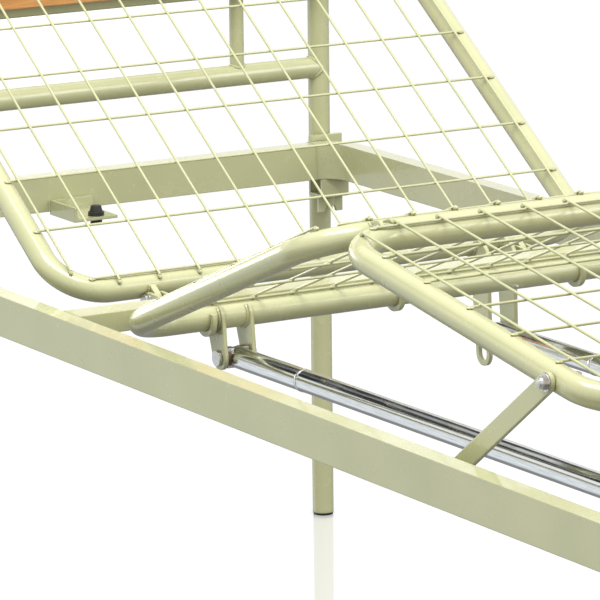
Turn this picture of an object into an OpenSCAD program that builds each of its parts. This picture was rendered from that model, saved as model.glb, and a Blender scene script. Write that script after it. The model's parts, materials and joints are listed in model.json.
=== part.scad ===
// Manual adjustable bed base: bent-tube frame, plug-in end frames and a four-part wire deck.
// X runs from the head to the foot, Y across the bed, Z up. The floor is at Z = 0.

/* [Base frame] */
// Length of the base frame over its two crossbars
frame_l = 2035; // [2000:5:2060]
// Width of the base frame over its side rails
frame_w = 900; // [890:5:960]
// Height of the top of the rails above the floor
rail_top = 550; // [500:5:620]
// Height of the rectangular rail tube
rail_h = 50; // [45:1:60]
// Thickness of the rectangular rail tube
rail_t = 25; // [20:1:30]
// Wall of the rail tube
rail_wall = 2; // [1.5:0.5:3]
// Radius of the bend at the head end, to the tube's middle line
rail_bend = 42; // [38:2:110]

/* [Deck] */
// Width of the deck sections over their side tubes
deck_w = 788; // [760:2:800]
// Diameter of the round tube
tube_d = 30; // [28:1:32]
// Wall of the round tube
tube_wall = 2; // [1.5:0.5:3]
// Corner radius of a deck section, to the tube's middle line
corner_r = 65; // [45:5:90]
// Length of the back section between its tubes
back_l = 644; // [560:4:660]
// Length of the thigh section between its tubes
thigh_l = 494; // [440:2:500]
// Length of the calf section between its tubes
calf_l = 530; // [480:2:534]
// Angle of the back section above the level
back_a = 34; // [0:1:65]
// Angle of the thigh section above the level
thigh_a = 21.85; // [0:0.05:26]

/* [Wire mesh] */
// Diameter of the mesh wire
wire_d = 3.2; // [2.5:0.1:4]
// Spaces between the lengthwise wires
wire_gaps = 13; // [9:1:16]
// Target distance between the crosswise wires
wire_pitch = 90; // [60:5:120]

/* [End frames] */
// Height of the end frames
end_h = 930; // [860:10:1000]
// Distance between the posts of an end frame, to their middle lines
post_span = 858; // [840:2:880]
// Height of the lower cross tube
low_z = 652; // [620:2:680]
// Height of the upper cross tube
high_z = 776; // [750:2:800]
// Thickness of the wood panel
panel_t = 16; // [12:1:20]

/* [Hidden] */
$fn = 48;

cream = [0.80, 0.80, 0.64];
zinc = [0.78, 0.79, 0.80];
black = [0.07, 0.07, 0.07];
wood = [0.86, 0.50, 0.22];

tube_r = tube_d / 2;
rail_z = rail_top - rail_h;
side_y = deck_w / 2 - tube_r;

// Extent along the bed, so that the origin lies under the middle
post_out = 23.5;
crank_out = 92;
x_mid = (frame_l + crank_out - post_out - tube_r) / 2;

// Hip crossbar and the two hinge lines beside it
hip_x0 = 817;
hip_w = 40;
hip_h = 25;
deck_z = rail_top - 17;
thigh_pivot = [880, deck_z];
back_pivot = [753.3, deck_z];
back_off = 26.2;
lug_y = 265;

// Knee hinge: distance from each section's tube to the pin
knee_e1 = 22.6;
knee_e2 = 26.4;
calf_ratio = 0.399;
calf_a = -calf_ratio * thigh_a;
knee_pivot = [thigh_pivot[0] + (thigh_l + knee_e1) * cos(thigh_a),
    deck_z + (thigh_l + knee_e1) * sin(thigh_a)];
knee_lug_y = 305;

// Struts between the calf section and the side rails
strut_s = 447.5;
strut_y = deck_w / 2 + 5.5;
strut_t = 5;
strut_w = 22;
strut_top = [knee_pivot[0] + (knee_e2 + strut_s) * cos(calf_a),
    knee_pivot[1] + (knee_e2 + strut_s) * sin(calf_a)];
strut_foot = [1648, rail_top - 28];
strut_l = norm(strut_top - strut_foot);
strut_dir = atan2(strut_top[1] - strut_foot[1], strut_top[0] - strut_foot[0]);

// Crank drives: the push tube's pin runs in the slots of the lever
back_y = 225;
thigh_y = -232.5;
back_pin = [760, 436];
thigh_pin = [891, 485];
thigh_tilt = 0.45;
push_d = 27;
push_end = 1820;
screw_d = 12;
lever_gap = 34;
lever_t = 5;
crank_l = 105;
crank_x = frame_l + 34;

// ---------- shared shapes ----------

// Everything is drawn from the outer face of the head crossbar and moved to the middle here
module place() {
    translate([-x_mid, 0, 0]) children();
}

// Round rod between two points
module rod(p, q, d) {
    v = q - p;
    translate(p) rotate([0, acos(v[2] / norm(v)), atan2(v[1], v[0])])
        cylinder(h = norm(v), d = d);
}

// Rod across the bed, centred on y
module cross_rod(x, z, y, l, d) {
    translate([x, y + l / 2, z]) rotate([90, 0, 0]) cylinder(h = l, d = d);
}

// Plate in the XZ plane, centred on y, through a list of discs
module link_plate(points, radii, t, y) {
    translate([0, y + t / 2, 0]) rotate([90, 0, 0]) linear_extrude(t)
        for (i = [0 : len(points) - 2])
            web_2d(points[i], points[i + 1], radii[i], radii[i + 1]);
}

// Long link in the XZ plane, centred on y = 0: two round ends and a straight web between them
module long_link(p, q, r1, r2, t) {
    v = q - p;
    l = norm(v);
    translate([p[0], 0, p[1]]) rotate([0, -atan2(v[1], v[0]), 0]) {
        cross_rod(0, 0, 0, t, 2 * r1);
        cross_rod(l, 0, 0, t, 2 * r2);
        translate([0, t / 2, 0]) rotate([90, 0, 0]) linear_extrude(t)
            polygon([[0, r1 - 0.05], [l, r2 - 0.05], [l, 0.05 - r2], [0, 0.05 - r1]]);
    }
}

// Two discs and the straight web that joins them
module web_2d(p, q, r1, r2) {
    v = q - p;
    l = norm(v);
    a = atan2(v[1], v[0]);
    s = (r1 - r2) / l;
    c = 0.996 * sqrt(1 - s * s);
    translate(p) rotate(a) {
        circle(r1);
        translate([l, 0]) circle(r2);
        polygon([[r1 * s, r1 * c], [l + r2 * s, r2 * c], [l + r2 * s, -r2 * c], [r1 * s, -r1 * c]]);
    }
}

// Closed ring of bent tube in the XY plane: x from 0 to l and y from -w/2 to w/2 to middle lines
module ring_solid(l, w, r, d) {
    for (s = [-1, 1]) {
        translate([r, s * w / 2, 0]) rotate([0, 90, 0]) cylinder(h = l - 2 * r, d = d);
        translate([s < 0 ? 0 : l, w / 2 - r, 0]) rotate([90, 0, 0]) cylinder(h = w - 2 * r, d = d);
    }
    for (i = [0, 1], j = [0, 1])
        translate([i ? l - r : r, j ? w / 2 - r : r - w / 2, 0])
            rotate(i ? (j ? 0 : 270) : (j ? 90 : 180))
                rotate_extrude(angle = 90) translate([r, 0]) circle(d = d);
}

// Hollow ring with a vent hole under its end tube, as welded tube has
module ring_tube(l, w) {
    difference() {
        ring_solid(l, w, corner_r, tube_d);
        ring_solid(l, w, corner_r, tube_d - 2 * tube_wall);
        translate([l, 0, -tube_d]) cylinder(h = tube_d, d = 5);
    }
}

// How far the rounded corner of a ring stands back at distance v from the ring's straight side
function inset(v) = v < corner_r ? corner_r - sqrt(corner_r * corner_r - pow(corner_r - v, 2)) : 0;

// Welded wire panel on a ring of length l
module wire_panel(l) {
    low = tube_r + wire_d / 2 + 0.05;
    rows = round((l - 14) / wire_pitch);
    edge = side_y - 14;
    for (i = [0 : rows]) {
        x = 7 + i * (l - 14) / rows;
        cross_rod(x, low, 0, 2 * (side_y - inset(min(x, l - x))) - 2, wire_d);
    }
    for (i = [0 : wire_gaps]) {
        y = -edge + i * 2 * edge / wire_gaps;
        in = inset(side_y - abs(y)) - 3;
        rod([in, y, low + wire_d - 0.7], [l - in, y, low + wire_d - 0.7], wire_d);
    }
}

// Frames of the three deck sections: x away from the hip or knee, z out of the deck's top
module back_frame() {
    place() translate([back_pivot[0], 0, back_pivot[1]]) rotate([0, back_a, 0]) mirror([1, 0, 0])
        translate([back_off, 0, 0]) children();
}
module thigh_frame() {
    place() translate([thigh_pivot[0], 0, thigh_pivot[1]]) rotate([0, -thigh_a, 0]) children();
}
module calf_frame() {
    place() translate([knee_pivot[0], 0, knee_pivot[1]]) rotate([0, -calf_a, 0])
        translate([knee_e2, 0, 0]) children();
}

// Socket-head or hex bolt across the bed with a nut, drawn about y
module bolt(x, z, y, grip, d) {
    head = 0.55 * d;
    cross_rod(x, z, y, grip, d);
    translate([x, y - grip / 2, z]) rotate([90, 0, 0]) cylinder(h = head, d = 1.8 * d, $fn = 6);
    translate([x, y + grip / 2 + head, z]) rotate([90, 0, 0])
        cylinder(h = head, d = 1.8 * d, $fn = 6);
}

// ---------- base frame ----------

module rail_shape(t, h) {
    square([t, h], center = true);
}

module bent_rail(side) {
    y = side * (frame_w / 2 - rail_t / 2);
    cx = rail_t / 2 + rail_bend;
    difference() {
        union() {
            rail_run(y, cx, rail_t, rail_h, 0);
            rail_curve(side, y, cx, rail_t, rail_h);
        }
        rail_run(y, cx, rail_t - 2 * rail_wall, rail_h - 2 * rail_wall, 1);
        rail_curve(side, y, cx, rail_t - 2 * rail_wall, rail_h - 2 * rail_wall);
    }
}
module rail_run(y, cx, t, h, extra) {
    translate([cx, y - t / 2, rail_z + rail_h / 2 - h / 2]) cube([frame_l - cx + extra, t, h]);
}
module rail_curve(side, y, cx, t, h) {
    translate([cx, y - side * rail_bend, rail_z + rail_h / 2])
        rotate(side > 0 ? 90 : 180) rotate_extrude(angle = 90, $fn = 96)
            translate([rail_bend, 0]) rail_shape(t, h);
}
module side_rail_near() {
    color(cream) place() bent_rail(-1);
}
module side_rail_far() {
    color(cream) place() bent_rail(1);
}

// Rectangular tube across the bed
module cross_tube(x, w, y1, z, h) {
    difference() {
        translate([x, -y1, z]) cube([w, 2 * y1, h]);
        translate([x + rail_wall, -y1 - 1, z + rail_wall])
            cube([w - 2 * rail_wall, 2 * y1 + 2, h - 2 * rail_wall]);
    }
}
module head_crossbar() {
    color(cream) place() cross_tube(0, rail_t, frame_w / 2 - rail_t / 2 - rail_bend, rail_z, rail_h);
}
module foot_crossbar() {
    color(cream) place()
        cross_tube(frame_l - rail_t, rail_t, frame_w / 2 - rail_t, rail_z, rail_h);
}
module hip_crossbar() {
    color(cream) place() cross_tube(hip_x0, hip_w, frame_w / 2 - rail_t, rail_top - hip_h, hip_h);
}
// Plastic plugs in the open foot ends of the rails
module rail_end_caps() {
    color(black) place() for (s = [-1, 1])
        translate([frame_l, s * (frame_w - rail_t) / 2, rail_z + rail_h / 2])
            translate([-12, -rail_t / 2 + rail_wall + 0.1, -rail_h / 2 + rail_wall + 0.1])
                cube([12, rail_t - 2 * rail_wall - 0.2, rail_h - 2 * rail_wall - 0.2]);
}
// Pairs of ears on the head side of the hip crossbar
module back_hinge_ears() {
    color(cream) place() for (s = [-1, 1], e = [-1, 1]) difference() {
        union() {
            link_plate([back_pivot, [hip_x0 - 8, deck_z + 1]], [10.8, 8], 5, s * lug_y + e * 8);
            translate([hip_x0 - 20, s * lug_y + e * 8 - 2.5, deck_z - 7]) cube([20, 5, 18]);
        }
        cross_rod(back_pivot[0], back_pivot[1], s * lug_y + e * 8, 10, 10.4);
    }
}
// Saddle plates on the foot side of the hip crossbar, under and round the thigh section's tube
module thigh_bearings() {
    color(cream) place() for (s = [-1, 0, 1]) difference() {
        union() {
            cross_rod(thigh_pivot[0], thigh_pivot[1], s * lug_y, 6, tube_d + 14);
            translate([hip_x0 + hip_w, s * lug_y - 3, deck_z - 8]) cube([12, 6, 16]);
        }
        cross_rod(thigh_pivot[0], thigh_pivot[1], s * lug_y, 10, tube_d + 0.8);
        translate([thigh_pivot[0] - 30, s * lug_y - 5, deck_z + 8]) cube([60, 10, 30]);
    }
}
// Angle brackets on the inner sides of the rails, each with the pivot stud of a strut
module strut_brackets() {
    color(cream) place() for (s = [-1, 1]) {
        translate([strut_foot[0] - 26, s * (frame_w / 2 - rail_t - 8) - 8, strut_foot[1] - 12])
            cube([52, 16, 24]);
        cross_rod(strut_foot[0], strut_foot[1], s * (frame_w / 2 - rail_t - 19.25), 6.5, 10);
    }
}
// Brackets on the foot crossbar that carry the crank screws
module screw_bearings() {
    x = frame_l - rail_t - 20;
    color(cream) place() for (far = [0, 1]) {
        y = far ? back_y : thigh_y;
        z = far ? back_pin[1] : thigh_pin[1] + (x + 4 - thigh_pin[0]) * tan(thigh_tilt);
        difference() {
            union() {
                translate([x, y - 20, z]) cube([8, 40, rail_z + 22 - z]);
                translate([x, y - 20, rail_z + 8]) cube([20, 40, 14]);
                translate([x, y, z]) rotate([0, 90, 0]) cylinder(h = 8, r = 20);
            }
            translate([x - 10, y, z]) rotate([0, 90, 0]) cylinder(h = 30, d = screw_d + 0.6);
        }
    }
}
// Folded bracket in the middle of the head crossbar that the flat back section comes down on
module deck_rest() {
    color(cream) place() difference() {
        translate([rail_t, -29, rail_z - 4]) cube([72, 66, 20]);
        translate([rail_t + 4, -25, rail_z]) cube([80, 80, 40]);
    }
}
module rest_buffer() {
    color(black) place() {
        translate([82, 12, rail_z]) cylinder(h = 5, r = 11);
        translate([82, 12, rail_z + 5]) cylinder(h = 8.5, r1 = 9, r2 = 7);
        translate([82, 12, rail_z - 12]) cylinder(h = 8, r = 8);
    }
}
// Shelves on the foot crossbar that the flat calf section comes down on
module foot_rests() {
    color(cream) place() for (y = [-150, 150]) difference() {
        translate([frame_l - rail_t - 75, y - 19, rail_z - 14]) cube([75, 38, 34]);
        translate([frame_l - rail_t - 80, y - 20, rail_z - 10]) cube([76, 40, 40]);
    }
}
module foot_buffers() {
    color(black) place() for (y = [-150, 150])
        translate([frame_l - rail_t - 57, y, rail_z - 10]) {
            cylinder(h = 12, r = 9);
            translate([0, 0, 12]) cylinder(h = 11.5, r1 = 9, r2 = 6);
        }
}

// ---------- end frames ----------

// Drawn for the head end: x = 0 is the outer face of the crossbar and the posts stand at -post_out
module at_end(foot) {
    place() translate([foot ? frame_l : 0, 0, 0]) mirror([foot ? 1 : 0, 0, 0])
        translate([-post_out, 0, 0]) children();
}
module post_arch(d, low) {
    r = 60;
    y = post_span / 2;
    top = end_h - tube_r;
    for (s = [-1, 1]) {
        translate([0, s * y, low]) cylinder(h = top - r - low, d = d);
        translate([0, s * (y - r), top - r]) rotate([90, 0, 90])
            rotate(s > 0 ? 0 : 90) rotate_extrude(angle = 90) translate([r, 0]) circle(d = d);
    }
    cross_rod(0, top, 0, post_span - 2 * r, d);
}
module end_posts(foot) {
    at_end(foot) difference() {
        post_arch(tube_d, 3);
        post_arch(tube_d - 2 * tube_wall, 2);
    }
}
// Cross tubes with ends cut to fit against the posts
module end_cross_tubes(foot) {
    at_end(foot) for (z = [low_z, high_z]) difference() {
        cross_rod(0, z, 0, post_span, z == low_z ? tube_d : 25);
        cross_rod(0, z, 0, post_span + 1, z == low_z ? tube_d - 4 : 21);
        for (s = [-1, 1]) translate([0, s * post_span / 2, z - 40]) cylinder(h = 80, d = tube_d + 0.1);
    }
}
// Upright bars between the cross tubes
module end_bars(foot) {
    at_end(foot) for (y = [-296, 296]) difference() {
        translate([0, y, low_z]) cylinder(h = high_z - low_z, d = 20);
        cross_rod(0, low_z, y, 60, tube_d + 0.1);
        cross_rod(0, high_z, y, 60, 25.1);
    }
}
// Wood panel with rounded corners, carried on the inner side of the arch
module end_panel(foot) {
    r = 34;
    at_end(foot) translate([tube_r + 0.3, 0, 0]) rotate([90, 0, 90]) linear_extrude(panel_t)
        difference() {
            union() {
                for (s = [-1, 1]) translate([s * (410 - r), end_h - 22 - r]) circle(r);
                translate([-(410 - r), end_h - 22 - 2 * r]) square([2 * (410 - r), 2 * r]);
                translate([-410, high_z + 4]) square([820, end_h - 22 - r - high_z - 4]);
            }
            for (s = [-1, 1], z = [high_z + 5 + 12, end_h - 70])
                translate([s * 300, z]) circle(d = 6.4);
        }
}
// Dome-headed screws that hold the panel to the arch
module end_panel_screws(foot) {
    at_end(foot) for (s = [-1, 1], z = [high_z + 17, end_h - 70])
        translate([tube_r + 0.3, s * 300, z]) rotate([0, 90, 0]) {
            translate([0, 0, -0.2]) cylinder(h = panel_t + 0.2, d = 6);
            translate([0, 0, panel_t]) cylinder(h = 3, d1 = 13, d2 = 8);
        }
}
// Brackets from the posts to the crossbar: an upright plate and a folded shoe under the corner
module end_brackets(foot) {
    y = post_span / 2;
    at_end(foot) for (s = [-1, 1]) difference() {
        union() {
            translate([post_out - 8.3, s * (y - 2) - 25, rail_z - 27]) cube([8, 50, 85]);
            translate([0, s * y - 8, rail_z - 27]) cube([post_out - 4, 16, 83]);
            translate([post_out - 8.3, s * (y - 5) - 22, rail_z - 27])
                cube([rail_t + 11, 44, 26.7]);
        }
        translate([0, s * y, rail_z - 60]) cylinder(h = 140, d = tube_d + 0.1);
        translate([post_out - 4, s * (y - 5) - 30, rail_z - 23]) cube([rail_t + 3, 60, 22.8]);
        translate([post_out + 12, s * (y - 5), rail_z - 60]) cylinder(h = 50, d = 8.6);
    }
}
// Round inserts in the ends of the posts, with a thin rim on the floor
module end_glides(foot) {
    at_end(foot) for (s = [-1, 1]) translate([0, s * post_span / 2, 0]) {
        cylinder(h = 2.95, r1 = tube_r - 1, r2 = tube_r);
        translate([0, 0, 2.5]) cylinder(h = 24, d = tube_d - 2 * tube_wall - 0.2);
    }
}
// Wing screw under the shoe, up against the crossbar
module end_wing(foot, s) {
    z = rail_z - 27;
    at_end(foot) translate([post_out + 12, s * (post_span / 2 - 5), z]) {
        translate([0, 0, -20]) cylinder(h = 46.6, d = 8);
        translate([0, 0, -14]) cylinder(h = 13.5, d = 15);
        for (e = [-1, 1]) translate([-2.5, e * 12.5 - 7, -23]) difference() {
            cube([5, 14, 22]);
            translate([-1, e > 0 ? -6 : 20, 0]) rotate([0, 90, 0]) cylinder(h = 7, r = 10);
        }
    }
}

module head_posts() { color(cream) end_posts(false); }
module head_cross_tubes() { color(cream) end_cross_tubes(false); }
module head_bars() { color(cream) end_bars(false); }
module head_panel() { color(wood) end_panel(false); }
module head_panel_screws() { color(zinc) end_panel_screws(false); }
module head_brackets() { color(cream) end_brackets(false); }
module head_glides() { color(black) end_glides(false); }
module head_wing_near() { color(cream) end_wing(false, -1); }
module head_wing_far() { color(cream) end_wing(false, 1); }
module foot_posts() { color(cream) end_posts(true); }
module foot_cross_tubes() { color(cream) end_cross_tubes(true); }
module foot_bars() { color(cream) end_bars(true); }
module foot_panel() { color(wood) end_panel(true); }
module foot_panel_screws() { color(zinc) end_panel_screws(true); }
module foot_brackets() { color(cream) end_brackets(true); }
module foot_glides() { color(black) end_glides(true); }
module foot_wing_near() { color(cream) end_wing(true, -1); }
module foot_wing_far() { color(cream) end_wing(true, 1); }

// ---------- back section ----------

module back_loop() {
    color(cream) back_frame() ring_tube(back_l, 2 * side_y);
}
module back_mesh() {
    color(cream) back_frame() wire_panel(back_l);
}
// Lugs from the lower tube to the hinge bolts
module back_lugs() {
    color(cream) back_frame() for (s = [-1, 1]) difference() {
        link_plate([[-back_off, 0], [0, 0]], [12, 12], 8, s * lug_y);
        cross_rod(-back_off, 0, s * lug_y, 12, 10.4);
        cross_rod(0, 0, s * lug_y, 40, tube_d + 0.1);
    }
}
module back_hinge_bolts() {
    color(zinc) place() for (s = [-1, 1])
        bolt(back_pivot[0], back_pivot[1], s * lug_y, 21.6, 10);
}
// Two plates from the lower tube to the push tube's pin, which runs in their slots
module back_lever() {
    p = back_pin - back_pivot;
    a = atan2(p[0], -p[1]);
    h = -p[1];
    color(cream) place() for (e = [-1, 1])
        translate([back_pivot[0], back_y + e * (lever_gap + lever_t) / 2 + lever_t / 2,
            back_pivot[1]]) rotate([90, 0, 0]) linear_extrude(lever_t) difference() {
            union() {
                rotate(180 - back_a) web_2d([0, 0], [back_off, 0], 20, 13);
                rotate(a) web_2d([0, 0], [0, -1.27 * h], 20, 15.5);
            }
            rotate(180 - back_a) translate([back_off, 0]) circle(d = tube_d + 0.1);
            rotate(a) web_2d([0, -0.98 * h], [0, -1.27 * h], 9, 9);
        }
}

// ---------- thigh section ----------

module thigh_loop() {
    color(cream) thigh_frame() ring_tube(thigh_l, 2 * side_y);
}
module thigh_mesh() {
    color(cream) thigh_frame() wire_panel(thigh_l);
}
module thigh_lever() {
    p = thigh_pin - thigh_pivot;
    a = atan2(p[0], -p[1]);
    color(cream) place() for (e = [-1, 1])
        translate([thigh_pivot[0], thigh_y + e * (lever_gap + lever_t) / 2 + lever_t / 2,
            thigh_pivot[1]]) rotate([90, 0, 0]) linear_extrude(lever_t) difference() {
            rotate(a) web_2d([0, 0], [0, -49.5], 20, 14.5);
            circle(d = tube_d + 0.1);
            rotate(thigh_a) translate([-30, 9]) square([60, 30]);
            rotate(a) web_2d([0, -47.5], [0, -51.5], 6, 6);
        }
}
// Pairs of ears on the knee tube
module knee_ears() {
    color(cream) thigh_frame() for (s = [-1, 1], e = [-1, 1]) difference() {
        link_plate([[thigh_l, 0], [thigh_l + knee_e1, 0]], [12, 11], 5, s * knee_lug_y + e * 8);
        cross_rod(thigh_l + knee_e1, 0, s * knee_lug_y + e * 8, 10, 8.4);
        cross_rod(thigh_l, 0, s * knee_lug_y, 60, tube_d + 0.1);
    }
}

// ---------- calf section ----------

module calf_loop() {
    color(cream) calf_frame() difference() {
        ring_tube(calf_l, 2 * side_y);
        for (s = [-1, 1]) cross_rod(strut_s, 0, s * side_y, tube_d + 8, 8.1);
    }
}
module calf_mesh() {
    color(cream) calf_frame() wire_panel(calf_l);
}
module knee_lugs() {
    color(cream) calf_frame() for (s = [-1, 1]) difference() {
        link_plate([[0, 0], [-knee_e2, 0]], [12, 7.2], 8, s * knee_lug_y);
        cross_rod(-knee_e2, 0, s * knee_lug_y, 12, 8.4);
        cross_rod(0, 0, s * knee_lug_y, 40, tube_d + 0.1);
    }
}
module knee_bolts() {
    color(zinc) place() for (s = [-1, 1])
        bolt(knee_pivot[0], knee_pivot[1], s * knee_lug_y, 21.6, 8);
}
// Bolts through the calf section's side tubes, with a nut outside each strut
module strut_bolts() {
    color(zinc) place() for (s = [-1, 1]) {
        cross_rod(strut_top[0], strut_top[1], s * (side_y + 3.5), tube_d + 23, 8);
        translate([strut_top[0], s * (side_y + tube_r + 8.4) + 3, strut_top[1]]) rotate([90, 0, 0])
            cylinder(h = 6, d = 15, $fn = 6);
        translate([strut_top[0], s * (side_y - tube_r - 3.2) + 3, strut_top[1]]) rotate([90, 0, 0])
            cylinder(h = 6, d = 15, $fn = 6);
    }
}
module strut(s) {
    color(cream) place() translate([0, s * (deck_w / 2 + 0.4 + strut_t / 2), 0]) difference() {
        long_link(strut_foot, strut_top, strut_w / 2, strut_w / 2, strut_t);
        cross_rod(strut_top[0], strut_top[1], 0, 20, 8.6);
    }
}
module strut_near() { strut(-1); }
module strut_far() { strut(1); }

// ---------- crank drives ----------

// Frame of a drive: the origin on its pin, x along the push tube
module drive(pin, y, tilt) {
    place() translate([pin[0], y, pin[1]]) rotate([0, -tilt, 0]) children();
}
module push_tube(l) {
    difference() {
        union() {
            translate([4, 0, 0]) rotate([0, 90, 0]) cylinder(h = l - 4, d = push_d);
            cross_rod(0, 0, 0, 30, 24);
            translate([0, -15, -12]) cube([9, 30, 24]);
        }
        translate([28, 0, 0]) rotate([0, 90, 0]) cylinder(h = l, d = push_d - 4);
        cross_rod(0, 0, 0, 60, 10.3);
    }
}
module push_pin() {
    l = lever_gap + 2 * lever_t + 2;
    cross_rod(0, 0, 0, l, 10);
    for (e = [-1, 1]) cross_rod(0, 0, e * (l / 2 + 1.5), 4, 19);
}
// Screw spindle from inside the push tube through the bearing bracket, with thrust collars
module screw(x0, start) {
    bracket = frame_l - rail_t - 20 - x0;
    rotate([0, 90, 0]) {
        translate([0, 0, start]) cylinder(h = crank_x + 6 - x0 - start, d = screw_d);
        translate([0, 0, start]) cylinder(h = 12, d = push_d - 5);
        translate([0, 0, bracket - 8]) cylinder(h = 7, d = 24);
        translate([0, 0, bracket + 9]) cylinder(h = 7, d = 24);
    }
}
// Crank arm on the end of the screw, hanging down
module crank(x0) {
    translate([crank_x + 3.5 - x0, 0, 0]) rotate(90) difference() {
        long_link([0, 0], [0, -crank_l], 14, 11, 7);
        cross_rod(0, 0, 0, 9, screw_d + 0.1);
        cross_rod(0, -crank_l, 0, 9, 8.4);
    }
}
// Turning grip on its own axle through the arm's end
module grip(x0) {
    translate([crank_x - x0, 0, -crank_l]) rotate([0, 90, 0]) {
        translate([0, 0, -4]) cylinder(h = crank_out - 34 - 2, d = 8);
        translate([0, 0, -7]) cylinder(h = 3.2, d = 14);
        translate([0, 0, 8]) cylinder(h = 6, d1 = 20, d2 = 26);
        translate([0, 0, 14]) cylinder(h = crank_out - 34 - 20, r = 13);
        translate([0, 0, crank_out - 40]) cylinder(h = 6, d1 = 26, d2 = 18);
    }
}
module back_drive() { drive(back_pin, back_y, 0) children(); }
module thigh_drive() { drive(thigh_pin, thigh_y, thigh_tilt) children(); }
module back_push_tube() { color(zinc) back_drive() push_tube(push_end - back_pin[0]); }
module back_push_pin() { color(zinc) back_drive() push_pin(); }
module back_screw() { color(zinc) back_drive() screw(back_pin[0], push_end - back_pin[0] - 90); }
module back_crank() { color(zinc) back_drive() crank(back_pin[0]); }
module back_grip() { color(black) back_drive() grip(back_pin[0]); }
module thigh_push_tube() { color(zinc) thigh_drive() push_tube(push_end - thigh_pin[0]); }
module thigh_push_pin() { color(zinc) thigh_drive() push_pin(); }
module thigh_screw() { color(zinc) thigh_drive() screw(thigh_pin[0], push_end - thigh_pin[0] - 60); }
module thigh_crank() { color(zinc) thigh_drive() crank(thigh_pin[0]); }
module thigh_grip() { color(black) thigh_drive() grip(thigh_pin[0]); }

side_rail_near();
side_rail_far();
head_crossbar();
foot_crossbar();
hip_crossbar();
rail_end_caps();
back_hinge_ears();
thigh_bearings();
strut_brackets();
screw_bearings();
deck_rest();
rest_buffer();
foot_rests();
foot_buffers();
head_posts();
head_cross_tubes();
head_bars();
head_panel();
head_panel_screws();
head_brackets();
head_glides();
head_wing_near();
head_wing_far();
foot_posts();
foot_cross_tubes();
foot_bars();
foot_panel();
foot_panel_screws();
foot_brackets();
foot_glides();
foot_wing_near();
foot_wing_far();
back_loop();
back_mesh();
back_lugs();
back_lever();
back_hinge_bolts();
thigh_loop();
thigh_mesh();
thigh_lever();
knee_ears();
calf_loop();
calf_mesh();
knee_lugs();
knee_bolts();
strut_near();
strut_far();
strut_bolts();
back_push_tube();
back_push_pin();
back_screw();
back_crank();
back_grip();
thigh_push_tube();
thigh_push_pin();
thigh_screw();
thigh_crank();
thigh_grip();
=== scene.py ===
"""Manual adjustable bed base: materials, weld beads, mesh spots, fasteners, grips and panels."""

import json
import math

import bmesh
import bpy
from mathutils import Matrix, Vector


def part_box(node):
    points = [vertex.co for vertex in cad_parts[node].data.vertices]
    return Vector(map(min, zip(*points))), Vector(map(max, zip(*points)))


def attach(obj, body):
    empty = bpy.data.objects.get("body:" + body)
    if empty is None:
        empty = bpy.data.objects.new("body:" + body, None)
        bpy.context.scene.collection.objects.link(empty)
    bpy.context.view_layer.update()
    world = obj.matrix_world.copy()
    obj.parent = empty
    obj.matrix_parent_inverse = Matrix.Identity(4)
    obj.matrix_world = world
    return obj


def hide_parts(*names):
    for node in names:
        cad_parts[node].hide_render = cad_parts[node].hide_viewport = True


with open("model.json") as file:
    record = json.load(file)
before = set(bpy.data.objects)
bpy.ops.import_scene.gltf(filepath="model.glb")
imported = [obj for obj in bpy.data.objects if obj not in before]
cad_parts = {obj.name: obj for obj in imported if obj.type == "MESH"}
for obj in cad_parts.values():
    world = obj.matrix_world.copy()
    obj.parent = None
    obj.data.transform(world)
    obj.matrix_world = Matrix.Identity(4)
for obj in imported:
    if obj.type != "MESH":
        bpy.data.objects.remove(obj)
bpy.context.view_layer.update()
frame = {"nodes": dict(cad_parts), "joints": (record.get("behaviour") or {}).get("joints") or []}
nodes = frame["nodes"]
joints = {j["name"]: j for j in frame["joints"]}
HEAD_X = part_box("head_crossbar")[0][0]


# ---------- camera, light and floor ----------

CAM_PLACE = Vector((HEAD_X + 6.00665, -3.1336, 1.8016))
CAM_YAW, CAM_PITCH, CAM_ROLL = 30.328, 11.988, -0.643
CAM_LENS = 300.5


def look_rotation(yaw, pitch, roll):
    """Camera matrix for a view towards the head and the far side, tipped down and rolled."""
    y, p, r = (math.radians(v) for v in (yaw, pitch, roll))
    ahead = Vector((-math.cos(y) * math.cos(p), math.sin(y) * math.cos(p), -math.sin(p)))
    right = ahead.cross(Vector((0, 0, 1))).normalized()
    up = right.cross(ahead)
    right, up = (math.cos(r) * right + math.sin(r) * up,
                 math.cos(r) * up - math.sin(r) * right)
    return Matrix((right, up, -ahead)).transposed().to_4x4()


def make_camera():
    data = bpy.data.cameras.new("camera")
    data.lens = CAM_LENS
    data.sensor_width = 36
    data.clip_end = 60
    cam = bpy.data.objects.new("camera", data)
    bpy.context.collection.objects.link(cam)
    cam.matrix_world = Matrix.Translation(CAM_PLACE) @ look_rotation(CAM_YAW, CAM_PITCH, CAM_ROLL)
    bpy.context.scene.camera = cam


def area_light(name, place, target, size, power):
    data = bpy.data.lights.new(name, "AREA")
    data.shape = "RECTANGLE"
    data.size, data.size_y = size
    data.energy = power
    lamp = bpy.data.objects.new(name, data)
    bpy.context.collection.objects.link(lamp)
    lamp.location = place
    lamp.rotation_euler = (Vector(target) - Vector(place)).to_track_quat("-Z", "Y").to_euler()


# Grey of the sky by the height of a direction, from straight down at -1 to straight up at 1
SKY = ((-1.0, 0.20), (-0.15, 0.27), (0.0, 0.76), (0.06, 0.86), (0.6, 0.80), (1.0, 1.0))
SKY_POWER = 1.25


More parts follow.
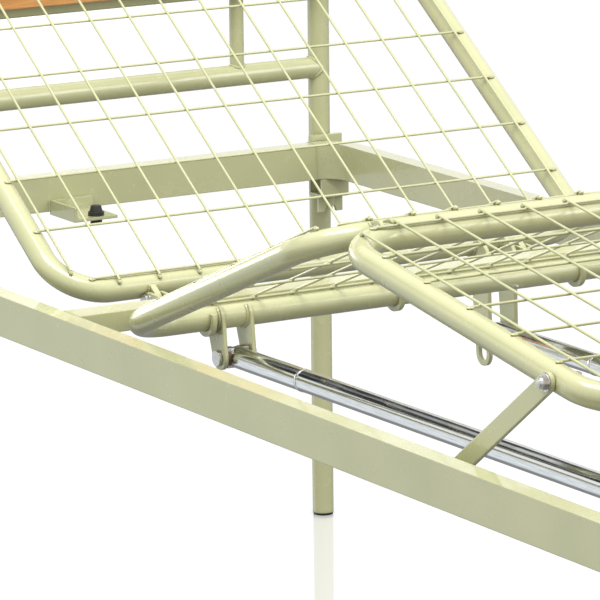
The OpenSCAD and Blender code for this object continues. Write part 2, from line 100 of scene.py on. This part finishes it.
def make_world():
    """White sky. Bright tubes show its dark card on the head side, and paint its glow below that."""
    world = bpy.data.worlds.new("studio")
    bpy.context.scene.world = world
    world.use_nodes = True
    tree = world.node_tree
    back = tree.nodes["Background"]
    coord = tree.nodes.new("ShaderNodeTexCoord")
    axes = tree.nodes.new("ShaderNodeSeparateXYZ")
    tree.links.new(coord.outputs["Generated"], axes.inputs[0])

    def grade(axis, low, high, stops):
        """Grey by one direction cosine."""
        span = tree.nodes.new("ShaderNodeMapRange")
        span.inputs["From Min"].default_value = low
        span.inputs["From Max"].default_value = high
        tree.links.new(axes.outputs[axis], span.inputs["Value"])
        ramp = tree.nodes.new("ShaderNodeValToRGB")
        points = ramp.color_ramp.elements
        while len(points) < len(stops):
            points.new(0.5)
        for point, (where, grey) in zip(points, stops):
            point.position = (where - low) / (high - low)
            point.color = (grey, grey, grey, 1)
        tree.links.new(span.outputs["Result"], ramp.inputs["Fac"])
        return ramp.outputs["Color"]

    sky = grade("Z", -1, 1, SKY)
    band = grade("Z", 0.3, 0.7, ((0.36, 0), (0.41, 1), (0.53, 1), (0.58, 0)))
    side = grade("X", -1, 0, ((-0.62, 1), (-0.5, 0)))
    glow_band = grade("Z", -0.1, 0.3, ((-0.02, 0), (0.0, 1), (0.13, 1), (0.17, 0)))
    glow_side = grade("X", -1, 0, ((-0.93, 1), (-0.86, 0)))
    below = grade("Z", -0.3, 0.1, ((-0.1, 1), (0.0, 0)))
    near = grade("Y", -1, 1, ((-0.25, 1), (-0.05, 0)))

    def both(a, b):
        n = tree.nodes.new("ShaderNodeMath")
        n.operation = "MULTIPLY"
        tree.links.new(a, n.inputs[0])
        tree.links.new(b, n.inputs[1])
        return n.outputs[0]

    def patch(before, where, grey):
        """Another brightness where a gradient is high."""
        mix = tree.nodes.new("ShaderNodeMix")
        mix.data_type = "RGBA"
        tree.links.new(where, mix.inputs[0])
        tree.links.new(before, mix.inputs[6])
        mix.inputs[7].default_value = grey
        return mix.outputs[2]

    sky = patch(sky, both(band, side), (0.02, 0.022, 0.025, 1))
    sky = patch(sky, both(glow_band, glow_side), (4.0, 4.0, 3.9, 1))
    sky = patch(sky, both(both(below, near), side), (0.74, 0.78, 0.80, 1))
    tree.links.new(sky, back.inputs["Color"])
    back.inputs["Strength"].default_value = SKY_POWER


def make_studio():
    """Soft lamps over the bed. Plain sRGB display, so that white stays white."""
    bpy.context.scene.view_settings.view_transform = "Standard"
    make_world()
    area_light("key", (0.6, -0.8, 4.0), (0, 0, 0.4), (2.6, 1.5), 125)
    area_light("side", (3.2, 2.6, 2.4), (-0.3, 0, 0.5), (1.2, 2.0), 34)


# ---------- shader helpers ----------

class Shader:
    """A material with one Principled shader and short ways to add nodes."""

    def __init__(self, name, colour, rough, metal=0.0, coat=0.0, coat_rough=0.1, specular=0.5):
        self.mat = bpy.data.materials.new(name)
        self.mat.use_nodes = True
        self.tree = self.mat.node_tree
        self.out = self.tree.nodes["Principled BSDF"]
        self.out.inputs["Base Color"].default_value = (*colour, 1)
        self.out.inputs["Roughness"].default_value = rough
        self.out.inputs["Metallic"].default_value = metal
        self.out.inputs["Coat Weight"].default_value = coat
        self.out.inputs["Coat Roughness"].default_value = coat_rough
        self.out.inputs["Specular IOR Level"].default_value = specular
        self.coords = None

    def node(self, kind, **values):
        n = self.tree.nodes.new(kind)
        for key, value in values.items():
            if key in n.inputs:
                n.inputs[key].default_value = value
            else:
                setattr(n, key, value)
        return n

    def link(self, a, b):
        self.tree.links.new(a, b)

    def place(self, scale=(1, 1, 1)):
        """Object coordinates in metres, stretched by scale."""
        if self.coords is None:
            self.coords = self.node("ShaderNodeTexCoord").outputs["Object"]
        mapping = self.node("ShaderNodeMapping")
        mapping.inputs["Scale"].default_value = scale
        self.link(self.coords, mapping.inputs["Vector"])
        return mapping.outputs["Vector"]

    def noise(self, scale, detail=3.0, rough=0.5, stretch=(1, 1, 1)):
        n = self.node("ShaderNodeTexNoise")
        n.inputs["Scale"].default_value = scale
        n.inputs["Detail"].default_value = detail
        n.inputs["Roughness"].default_value = rough
        self.link(self.place(stretch), n.inputs["Vector"])
        return n.outputs["Fac"]

    def ramp(self, value, *stops):
        """Colours or greys at positions."""
        n = self.node("ShaderNodeValToRGB")
        points = n.color_ramp.elements
        while len(points) < len(stops):
            points.new(0.5)
        for point, (where, colour) in zip(points, stops):
            point.position = where
            point.color = (*colour, 1) if isinstance(colour, tuple) else (colour,) * 3 + (1,)
        self.link(value, n.inputs["Fac"])
        return n.outputs["Color"]

    def map(self, value, low, high, start=0.3, end=0.7):
        n = self.node("ShaderNodeMapRange")
        n.inputs["From Min"].default_value = start
        n.inputs["From Max"].default_value = end
        n.inputs["To Min"].default_value = low
        n.inputs["To Max"].default_value = high
        self.link(value, n.inputs["Value"])
        return n.outputs["Result"]

    def mix(self, fac, a, b, blend="MIX"):
        n = self.node("ShaderNodeMix", data_type="RGBA", blend_type=blend)
        for key, value in ((0, fac), (6, a), (7, b)):
            if isinstance(value, (float, int)):
                n.inputs[key].default_value = value
            elif isinstance(value, tuple):
                n.inputs[key].default_value = (*value, 1)
            else:
                self.link(value, n.inputs[key])
        return n.outputs[2]

    def colour(self, value):
        self.link(value, self.out.inputs["Base Color"])

    def rough(self, value):
        self.link(value, self.out.inputs["Roughness"])

    def soft_edges(self, radius):
        """Normals that round off sharp edges."""
        n = self.node("ShaderNodeBevel", samples=4)
        n.inputs["Radius"].default_value = radius
        return n.outputs["Normal"]

    def painted_crevice_shade(self, distance):
        """Ambient occlusion: 1 in the open and less in corners between parts, used to paint shade into
        them.
        """
        n = self.node("ShaderNodeAmbientOcclusion", samples=6)
        n.inputs["Distance"].default_value = distance
        return n.outputs["AO"]

    def bump(self, height, strength, distance, before=None):
        n = self.node("ShaderNodeBump")
        n.inputs["Strength"].default_value = strength
        n.inputs["Distance"].default_value = distance
        self.link(height, n.inputs["Height"])
        if before is not None:
            self.link(before, n.inputs["Normal"])
        self.link(n.outputs["Normal"], self.out.inputs["Normal"])
        return n.outputs["Normal"]


# ---------- materials ----------

def cream_paint():
    """Thick gloss powder coat, with slight orange peel, faint cloudiness and painted shade darkening
    the corners.
    """
    s = Shader("cream_paint", (0.50, 0.50, 0.28), 0.25, coat=0.6, coat_rough=0.06)
    cloud = s.noise(9, 4)
    tone = s.ramp(cloud, (0.3, (0.475, 0.485, 0.262)), (0.7, (0.53, 0.53, 0.30)))
    specks = s.ramp(s.noise(650, 2), (0.24, (0.80, 0.78, 0.70)), (0.32, (1.0, 1.0, 1.0)))
    tone = s.mix(0.35, tone, specks, "MULTIPLY")
    # Painted shade: ambient occlusion darkens the paint towards a greyish olive in corners and between
    # parts.
    corner = s.ramp(s.painted_crevice_shade(0.016), (0.15, (0.45, 0.43, 0.34)), (0.75, (1.0, 1.0, 1.0)))
    s.colour(s.mix(0.9, tone, corner, "MULTIPLY"))
    s.rough(s.map(s.noise(40, 3), 0.18, 0.30))
    peel = s.bump(s.noise(420, 2), 0.10, 0.0006, s.soft_edges(0.0018))
    s.bump(s.noise(1800, 2), 0.04, 0.0002, peel)
    return s.mat


def zinc_plate():
    """Bright drawn tube: fine lines along its length and soft spangle."""
    s = Shader("zinc_plate", (0.75, 0.76, 0.77), 0.16, metal=1.0)
    streak = s.noise(60, 4, 0.6, (0.6, 9, 9))
    s.colour(s.ramp(streak, (0.3, (0.62, 0.63, 0.64)), (0.7, (0.82, 0.83, 0.84))))
    s.rough(s.map(s.noise(30, 4, 0.6, (0.5, 6, 6)), 0.05, 0.16))
    s.bump(s.noise(120, 3, 0.5, (0.2, 4, 4)), 0.05, 0.0002, s.soft_edges(0.0008))
    return s.mat


def bolt_steel():
    """Plated fasteners with fine turning marks."""
    s = Shader("bolt_steel", (0.62, 0.62, 0.60), 0.3, metal=1.0)
    grain = s.noise(300, 3)
    s.colour(s.ramp(grain, (0.3, (0.50, 0.50, 0.48)), (0.7, (0.70, 0.70, 0.68))))
    s.rough(s.map(grain, 0.24, 0.42))
    s.bump(s.noise(900, 2), 0.12, 0.0002, s.soft_edges(0.0006))
    return s.mat


def black_plastic():
    """Moulded polyamide with a fine spark-eroded grain."""
    s = Shader("black_plastic", (0.02, 0.02, 0.02), 0.45)
    s.colour(s.ramp(s.noise(60, 3), (0.3, (0.014, 0.014, 0.014)), (0.7, (0.028, 0.028, 0.027))))
    s.rough(s.map(s.noise(120, 2), 0.38, 0.52))
    s.bump(s.noise(1500, 2), 0.2, 0.0003, s.soft_edges(0.0008))
    return s.mat


def wood_panel():
    """Orange-toned lacquered wood with grain along the panel."""
    s = Shader("wood_panel", (0.70, 0.33, 0.10), 0.3, coat=0.6, coat_rough=0.15)
    broad = s.noise(5, 4, 0.6, (6, 0.8, 6))
    fine = s.noise(60, 5, 0.6, (8, 0.35, 8))
    tone = s.ramp(broad, (0.25, (0.56, 0.24, 0.065)), (0.5, (0.72, 0.34, 0.10)),
                  (0.75, (0.80, 0.42, 0.15)))
    lines = s.ramp(fine, (0.35, (0.62, 0.56, 0.50)), (0.6, (1.0, 1.0, 1.0)))
    s.colour(s.mix(0.55, tone, lines, "MULTIPLY"))
    s.rough(s.map(fine, 0.26, 0.42))
    s.bump(fine, 0.12, 0.0004)
    return s.mat


def brown_bush():
    """Moulded bush of brown filled nylon."""
    s = Shader("brown_bush", (0.16, 0.08, 0.035), 0.4)
    s.colour(s.ramp(s.noise(200, 3), (0.3, (0.12, 0.06, 0.025)), (0.7, (0.20, 0.105, 0.05))))
    s.rough(s.map(s.noise(300, 2), 0.32, 0.5))
    s.bump(s.noise(1200, 2), 0.15, 0.0002)
    return s.mat


def floor_white():
    """Polished pale sheet: it mirrors the legs faintly at a low viewing angle."""
    s = Shader("floor_white", (0.8, 0.8, 0.8), 0.04, coat=1.0, coat_rough=0.01, specular=0.6)
    s.colour(s.ramp(s.noise(1.5, 2), (0.3, (0.79, 0.80, 0.79)), (0.7, (0.82, 0.82, 0.815))))
    s.rough(s.map(s.noise(3, 2), 0.035, 0.05))
    return s.mat


CREAM, ZINC, STEEL = cream_paint(), zinc_plate(), bolt_steel()
BLACK, WOOD, FLOOR, BROWN = black_plastic(), wood_panel(), floor_white(), brown_bush()


def finish_for(name):
    """Material of a CAD node, by what the node is."""
    if name.endswith("_panel"):
        return WOOD
    if name.endswith(("_push_tube", "_screw", "_crank")):
        return ZINC
    if name.endswith(("_bolts", "_screws", "_pin")):
        return STEEL
    if any(word in name for word in ("grip", "glides", "caps", "buffer")):
        return BLACK
    return CREAM


def dress_cad():
    for name, obj in nodes.items():
        obj.data.materials.clear()
        obj.data.materials.append(finish_for(name))


def make_floor():
    mesh = bpy.data.meshes.new("floor")
    bm = bmesh.new()
    bmesh.ops.create_grid(bm, x_segments=1, y_segments=1, size=14)
    bm.to_mesh(mesh)
    bm.free()
    floor = bpy.data.objects.new("floor", mesh)
    bpy.context.collection.objects.link(floor)
    floor.location.z = -0.0005
    floor.visible_diffuse = False
    floor.visible_glossy = False
    mesh.materials.append(FLOOR)


# ---------- mesh builder for the small pieces ----------

def steps(path, step, closed=False):
    """The path's points again, at even distances of about step."""
    path = [Vector(p) for p in path]
    ends = path + [path[0]] if closed else path
    along = [0.0]
    for a, b in zip(ends, ends[1:]):
        along.append(along[-1] + (b - a).length)
    count = max(2, round(along[-1] / step))
    out, k = [], 0
    for i in range(count + (0 if closed else 1)):
        d = along[-1] * i / count
        while k < len(along) - 2 and along[k + 1] < d:
            k += 1
        span = along[k + 1] - along[k]
        out.append(ends[k].lerp(ends[k + 1], (d - along[k]) / span if span else 0))
    return out


class Piece:
    """Collects swept, turned and round shapes into one mesh object."""

    def __init__(self):
        self.bm = bmesh.new()

    def skin(self, rings, closed=False):
        """Faces between rings of points of equal count."""
        loops = [[self.bm.verts.new(p) for p in ring] for ring in rings]
        n = len(loops[0])
        for a, b in zip(loops, loops[1:] + (loops[:1] if closed else [])):
            turn = 0
            if closed and b is loops[0]:
                turn = min(range(n), key=lambda t: (a[0].co - b[t].co).length)
            for i in range(n):
                self.bm.faces.new((a[i], a[(i + 1) % n], b[(i + 1 + turn) % n], b[(i + turn) % n]))
        if not closed:
            self.bm.faces.new(loops[0][::-1])
            self.bm.faces.new(loops[-1])

    def sweep(self, path, radius, sides=8, closed=False, pitch=0.0):
        """Round rod along a path. With a pitch its thickness swells as a weld bead's does."""
        count, across, run, rings = len(path), None, 0.0, []
        for i, p in enumerate(path):
            a = path[i - 1] if i or closed else p
            b = path[(i + 1) % count] if i < count - 1 or closed else p
            ahead = (b - a).normalized()
            if across is None:
                across = ahead.orthogonal()
            across = (across - ahead * across.dot(ahead)).normalized()
            other = ahead.cross(across)
            r = radius * (1 + 0.16 * math.sin(2 * math.pi * run / pitch)) if pitch else radius
            if not closed and pitch and i in (0, count - 1):
                r *= 0.55
            rings.append([p + r * (math.cos(t) * across + math.sin(t) * other)
                          for t in (2 * math.pi * k / sides for k in range(sides))])
            run += (b - a).length / 2
        self.skin(rings, closed)

    def bead(self, path, radius=0.0019, closed=False):
        self.sweep(steps(path, 0.0012, closed), radius, 7, closed, 0.0036)

    def turned(self, place, profile, sides=28, flutes=0, depth=0.0):
        """Solid of revolution about place's Z axis, through (height, radius) points."""
        rings = []
        for height, radius in profile:
            ring = []
            for k in range(sides):
                t = 2 * math.pi * k / sides
                r = radius
                if flutes and radius > 0.0115:
                    r -= depth * max(0.0, math.cos(flutes * t)) ** 2
                ring.append(place @ Vector((r * math.cos(t), r * math.sin(t), height)))
            rings.append(ring)
        self.skin(rings)

    def blob(self, place, radii, sides=8, rows=5):
        """Rounded lump with the given half sizes."""
        a, b, c = radii
        rings = []
        for i in range(rows):
            t = math.pi * (i + 0.5) / rows - math.pi / 2
            rings.append([place @ Vector((a * math.cos(t) * math.cos(u), b * math.cos(t) * math.sin(u),
                                          c * math.sin(t)))
                          for u in (2 * math.pi * k / sides for k in range(sides))])
        self.skin(rings)

    def done(self, name, material, body, hides=()):
        """Makes the object, smooth but for its sharp edges, and fixes it to its body."""
        bmesh.ops.recalc_face_normals(self.bm, faces=self.bm.faces)
        mesh = bpy.data.meshes.new(name)
        self.bm.to_mesh(mesh)
        self.bm.free()
        mesh.materials.append(material)
        obj = bpy.data.objects.new(name, mesh)
        bpy.context.collection.objects.link(obj)
        mesh.shade_smooth()
        mesh.set_sharp_from_angle(angle=math.radians(SHARP_DEGREES))
        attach(obj, body)
        if hides:
            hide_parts(*hides)
        return obj


# ---------- measures, in metres, as the frame has them ----------

TUBE = 0.015
SIDE_Y = 0.379
WIRE = 0.0016
LUG_Y, KNEE_Y = 0.265, 0.305
BACK_OFF, KNEE_FAR = 0.0262, 0.0264
CALF_PER_THIGH = -0.399
POST_Y, BAR_Y = 0.429, 0.296
LOW_TUBE_Z, HIGH_TUBE_Z = 0.652, 0.776
HIGH_TUBE, BAR = 0.0125, 0.010
LEVER_T = 0.005
EAR_Y = 0.008                # from the middle of a pair of ears to each ear
EAR_FACE, LUG_FACE, SADDLE_FACE = 0.0029, 0.0045, 0.0034    # from a plate's middle to its bead
PROUD = 0.0004               # from a surface to the middle of a bead on it
WIRE_SPACES, WIRE_PITCH, MESH_INSET = 13, 0.090, 0.007
BACK_L, THIGH_L, CALF_L = 0.644, 0.494, 0.530
CORNER = 0.065
SHARP_DEGREES = 38
THREAD_LEAD = 0.010
FACING_Y = Matrix.Rotation(math.radians(-90), 4, "X")
FACING_X = Matrix.Rotation(math.radians(90), 4, "Y")


def hinge(name):
    """A point on a joint's axis."""
    return Vector(joints[name]["pos_m"])


def section(pivot, angle, offset, way=1):
    """Frame of a deck section: X away from its hinge and Z out of its top."""
    along = Vector((way * math.cos(angle), 0, math.sin(angle)))
    up = Vector((-way * math.sin(angle), 0, math.cos(angle)))
    place = Matrix((along, Vector((0, 1, 0)), up)).transposed().to_4x4()
    return Matrix.Translation(pivot + along * offset) @ place


back_angle = math.radians(-joints["back_raise"]["range_deg"][0])
thigh_angle = math.radians(-joints["thigh_raise"]["range_deg"][0])
BACK = section(hinge("back_raise"), back_angle, BACK_OFF, -1)
THIGH = section(hinge("thigh_raise"), thigh_angle, 0)
CALF = section(hinge("calf_fold"), CALF_PER_THIGH * thigh_angle, KNEE_FAR)


def in_frame(place, points):
    return [place @ Vector(p) for p in points]


def arc(x, y, z, radius, start, end, count=20):
    """Arc in the XZ plane, by degrees from X towards Z."""
    out = []
    for i in range(count + 1):
        t = math.radians(start + (end - start) * i / count)
        out.append((x + radius * math.cos(t), y, z + radius * math.sin(t)))
    return out


def saddle(middle, along, across, small, big):
    """Line where a tube that runs along meets the side of a bigger one that runs across."""
    other = along.cross(across)
    out = []
    for i in range(48):
        t = 2 * math.pi * i / 48
        reach = math.sqrt(max(0.0, big * big - (small * math.cos(t)) ** 2))
        out.append(middle + along * (reach + 0.0004) + other * small * math.cos(t)
                   + across * small * math.sin(t))
    return out


def frame_welds():
    """Beads of the fixed frame: corner seams, hip crossbar, ears, saddles and brackets."""
    p = Piece()
    (x0, y0, z0), (x1, y1, z1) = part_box("head_crossbar")
    for y in (y0, y1):
        p.bead([(x0, y, z0), (x1, y, z0), (x1, y, z1), (x0, y, z1)], 0.0011, True)
    (x0, y0, z0), (x1, y1, z1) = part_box("hip_crossbar")
    for y in (y0 + 0.0005, y1 - 0.0005):
        p.bead([(x0, y, z1 - 0.001), (x0, y, z0), (x1, y, z0), (x1, y, z1 - 0.001)], 0.0022)
        p.bead([(x0, y, z1), (x1, y, z1)], 0.0010)
    (a, b, c), (d, e, f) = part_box("foot_crossbar")
    for y in (b, e):
        p.bead([(a, y, c), (a, y, f), (d, y, f)], 0.0018)
    for s in (-1, 1):
        for e in (-1, 1):
            for k in (-EAR_FACE, EAR_FACE):
                y = s * LUG_Y + e * EAR_Y + k
                p.bead([(x0 - 0.0003, y, z0 + 0.002), (x0 - 0.0003, y, z1 - 0.007)], 0.0017)
    for s in (-1, 0, 1):
        for k in (-SADDLE_FACE, SADDLE_FACE):
            y = s * LUG_Y + k
            p.bead([(x1 + 0.0003, y, z0 + 0.001), (x1 + 0.0003, y, z1 - 0.008)], 0.0018)
    (x0, y0, z0), (x1, y1, z1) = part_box("deck_rest")
    for y in (y0, y1):
        p.bead([(x0, y, z0 + 0.004), (x0, y, z1)], 0.0017)
    p.bead([(x0, y0, z0 + 0.004), (x0, y1, z0 + 0.004)], 0.0017)
    p.done("frame_weld_beads", CREAM, "frame")


def end_welds(end):
    """Beads of one end frame, where its cross tubes meet the posts and its bars meet the tubes."""
    p = Piece()
    (x0, _, _), (x1, _, _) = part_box(end + "_cross_tubes")
    x = (x0 + x1) / 2
    up, out = Vector((0, 0, 1)), Vector((0, 1, 0))
    for z, small in ((LOW_TUBE_Z, TUBE), (HIGH_TUBE_Z, HIGH_TUBE)):
        for s in (-1, 1):
            p.bead(saddle(Vector((x, s * POST_Y, z)), -s * out, up, small, TUBE), 0.0021, True)
    for y in (-BAR_Y, BAR_Y):
        p.bead(saddle(Vector((x, y, LOW_TUBE_Z)), up, out, BAR, TUBE), 0.0018, True)
        p.bead(saddle(Vector((x, y, HIGH_TUBE_Z)), -up, out, BAR, HIGH_TUBE), 0.0018, True)
    p.done(end + "_weld_beads", CREAM, "frame")


def inset(v):
    """How far a section's rounded corner stands back at v from its straight side."""
    return CORNER - math.sqrt(CORNER ** 2 - (CORNER - v) ** 2) if v < CORNER else 0.0


def mesh_welds(name, place, length, body):
    """Fused spots where the wires cross, and where their ends lie on the tube."""
    p = Piece()
    span = length - 2 * MESH_INSET
    rows = round(span / WIRE_PITCH)
    low, high = TUBE + WIRE + 0.00005, TUBE + 3 * WIRE + 0.00005 - 0.0007
    edge = SIDE_Y - 0.014
    lines = [-edge + i * 2 * edge / WIRE_SPACES for i in range(WIRE_SPACES + 1)]
    for i in range(rows + 1):
        x = MESH_INSET + i * span / rows
        reach = SIDE_Y - inset(min(x, length - x)) - 0.001
        for y in lines:
            if abs(y) < reach:
                p.blob(place @ Matrix.Translation((x, y, (low + high) / 2)),
                       (0.0027, 0.0027, 0.0019), 8, 4)
        for s in (-1, 1):
            p.blob(place @ Matrix.Translation((x, s * (reach - 0.001), low - 0.0006)),
                   (0.0030, 0.0052, 0.0018))
    for y in lines:
        start = inset(SIDE_Y - abs(y)) - 0.003
        for x in (start, length - start):
            p.blob(place @ Matrix.Translation((x, y, low + 0.0003)), (0.0042, 0.0026, 0.0028))
    p.done(name, CREAM, body)


def lever_faces(node):
    """Where the beads run on both sides of a lever's two plates."""
    (_, y0, _), (_, y1, _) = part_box(node)
    inside = LEVER_T + PROUD
    return y0 - PROUD, y0 + inside, y1 - inside, y1 + PROUD


def back_welds():
    """Beads of the back section's lugs and lever."""
    p = Piece()
    for s in (-1, 1):
        for k in (-LUG_FACE, LUG_FACE):
            p.bead(in_frame(BACK, arc(0, s * LUG_Y + k, 0, TUBE + PROUD, 130, 230)), 0.0019)
    for y in lever_faces("back_lever"):
        p.bead(in_frame(BACK, arc(0, y, 0, TUBE + PROUD, 110, 320)), 0.0022)
    p.done("back_weld_beads", CREAM, "back_section")


def thigh_welds():
    """Beads of the thigh section's lever and knee ears."""
    p = Piece()
    for y in lever_faces("thigh_lever"):
        p.bead(in_frame(THIGH, arc(0, y, 0, TUBE + PROUD, 145, 395)), 0.0021)
    for s in (-1, 1):
        for e in (-1, 1):
            for k in (-EAR_FACE, EAR_FACE):
                y = s * KNEE_Y + e * EAR_Y + k
                p.bead(in_frame(THIGH, arc(THIGH_L, y, 0, TUBE + PROUD, -52, 52)), 0.0017)
    p.done("thigh_weld_beads", CREAM, "thigh_section")


def calf_welds():
    """Beads of the calf section's knee lugs."""
    p = Piece()
    for s in (-1, 1):
        for k in (-LUG_FACE, LUG_FACE):
            p.bead(in_frame(CALF, arc(0, s * KNEE_Y + k, 0, TUBE + PROUD, 130, 230)), 0.0018)
    p.done("calf_weld_beads", CREAM, "calf_section")


def washer(p, place, y, way, hole, out, thick=0.0012):
    """Flat washer across the bed that stands out from y."""
    base = place @ Matrix.Translation((0, y, 0)) @ FACING_Y
    if way < 0:
        base = base @ Matrix.Rotation(math.pi, 4, "X")
    e = 0.0003
    p.turned(base, [(0, out - e), (e, out), (thick - e, out), (thick, out - e), (thick, hole)])


def fasteners():
    """Washers under the hinge bolts, and washers and domed ends on the strut bolts."""
    def put(name, joint, y, body, bolt):
        p = Piece()
        place = Matrix.Translation(hinge(joint))
        for s in (-1, 1):
            for e in (-1, 1):
                washer(p, place, s * y + e * 0.0106, e, bolt * 0.5, bolt)
        p.done(name, STEEL, body)
    put("back_hinge_washers", "back_raise", LUG_Y, "frame", 0.0102)
    put("knee_washers", "calf_fold", KNEE_Y, "thigh_section", 0.0073)
    p = Piece()
    place = Matrix.Translation(Vector((hinge("strut_near_swing").x, 0, hinge("strut_near_swing").z)))
    (_, y0, _), (_, y1, _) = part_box("strut_bolts")
    dome = [(0.0, 0.0062), (0.0012, 0.0060), (0.0026, 0.0050), (0.0036, 0.0034), (0.0041, 0.0012)]
    for s, end in ((-1, y0), (1, y1)):
        washer(p, place, s * 0.3995, s, 0.004, 0.0098)
        base = place @ Matrix.Translation((0, end - s * 0.0038, 0)) @ FACING_Y
        if s < 0:
            base = base @ Matrix.Rotation(math.pi, 4, "X")
        p.turned(base, dome)
    p.done("strut_bolt_domes", STEEL, "calf_section")


def drive_frame(name):
    """Frame of a drive: X along its push tube, from the middle of its pin."""
    axis = Vector(joints[name + "_crank_turn"]["axis"]).normalized()
    low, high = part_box(name + "_push_pin")
    up = Vector((0, 1, 0)).cross(axis) * -1
    place = Matrix((axis, Vector((0, 1, 0)), up)).transposed().to_4x4()
    return Matrix.Translation((low + high) / 2) @ place


def spindle_thread(name):
    """Two-start thread on the spindle, from inside the push tube to its bearing collar."""
    place = drive_frame(name)
    pin = place.translation
    start = (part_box(name + "_push_tube")[1] - pin).x - 0.030
    end = (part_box("foot_crossbar")[0] - pin).x - 0.031
    p = Piece()
    for first in (0, math.pi):
        turns = (end - start) / THREAD_LEAD
        count = int(turns * 22)
        path = []
        for i in range(count + 1):
            t = first + 2 * math.pi * turns * i / count
            path.append(place @ Vector((start + (end - start) * i / count, 0.0061 * math.cos(t),
                                        0.0061 * math.sin(t))))
        p.sweep(path, 0.0012, 6)
    p.done(name + "_thread", ZINC, name + "_screw")


# Outline of the axle and grip: distance along the axle and radius
GRIP = ((-0.0070, 0.0062), (-0.0066, 0.0070), (-0.0042, 0.0070), (-0.0038, 0.0062), (-0.0038, 0.0040),
        (0.0080, 0.0040), (0.0080, 0.0086), (0.0088, 0.0098), (0.0110, 0.0118), (0.0150, 0.0130),
        (0.0220, 0.0127), (0.0300, 0.0120), (0.0380, 0.0121), (0.0460, 0.0128), (0.0510, 0.0130),
        (0.0550, 0.0120), (0.0572, 0.0098), (0.0580, 0.0066), (0.0580, 0.0020))


def shaped_grip(name):
    """Waisted, fluted grip on its axle."""
    at_grip = hinge(name + "_grip_spin")
    axis = Vector(joints[name + "_grip_spin"]["axis"]).normalized()
    place = Matrix.Translation(at_grip) @ axis.to_track_quat("Z", "Y").to_matrix().to_4x4()
    p = Piece()
    p.turned(place, GRIP, 80, 10, 0.0009)
    p.done(name + "_grip_moulded", BLACK, name + "_grip", hides=(name + "_grip",))


def tube_fittings():
    """Brown bush round the thigh pin's sleeve, and the rolled joint ring on that tube."""
    place = drive_frame("thigh")
    p = Piece()
    base = place @ Matrix.Translation((0, -0.0146, 0)) @ FACING_Y
    half = [(0.0, 0.0121), (0.0004, 0.0127), (0.0096, 0.0127), (0.0100, 0.0121)]
    p.turned(base, half)
    p.turned(base @ Matrix.Translation((0, 0, 0.0192)), half)
    p.done("thigh_pin_bush", BROWN, "thigh_push_tube")
    for name, where in (("thigh", 0.165), ("back", 0.230)):
        q = Piece()
        base = drive_frame(name) @ Matrix.Translation((where, 0, 0)) @ FACING_X
        q.turned(base, [(-0.003, 0.0134), (-0.002, 0.0140), (0.002, 0.0140), (0.003, 0.0134)], 40)
        q.done(name + "_tube_ring", ZINC, name + "_push_tube")


def shaped_panel(end):
    """Wood panel with eased edges, in the place of the plain one."""
    (x0, y0, z0), (x1, y1, z1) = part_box(end + "_panel")
    ease, top, foot = 0.0022, 0.034, 0.004

    def outline(e):
        """Outline set back by e, by its corners' middles, radii and first angles."""
        pts = []
        for cy, cz, r, start in ((y1 - top, z1 - top, top, 0), (y0 + top, z1 - top, top, 90),
                                 (y0 + foot, z0 + foot, foot, 180), (y1 - foot, z0 + foot, foot, 270)):
            for i in range(13):
                t = math.radians(start + 90 * i / 12)
                pts.append((cy + (r - e) * math.cos(t), cz + (r - e) * math.sin(t)))
        return pts
    turns = [math.radians(18 * i) for i in range(6)]
    rings = [(x0 + ease * (1 - math.cos(t)), ease * (1 - math.sin(t))) for t in turns]
    rings += [(x0 + x1 - x, e) for x, e in reversed(rings)]
    p = Piece()
    p.skin([[Vector((x, y, z)) for y, z in outline(e)] for x, e in rings])
    p.done(end + "_panel_eased", WOOD, "frame", hides=(end + "_panel",))


def add_details():
    frame_welds()
    for end in ("head", "foot"):
        end_welds(end)
        shaped_panel(end)
    mesh_welds("back_mesh_welds", BACK, BACK_L, "back_section")
    mesh_welds("thigh_mesh_welds", THIGH, THIGH_L, "thigh_section")
    mesh_welds("calf_mesh_welds", CALF, CALF_L, "calf_section")
    back_welds()
    thigh_welds()
    calf_welds()
    fasteners()
    tube_fittings()
    for name in ("back", "thigh"):
        spindle_thread(name)
        shaped_grip(name)


dress_cad()
add_details()
make_floor()
make_camera()
make_studio()
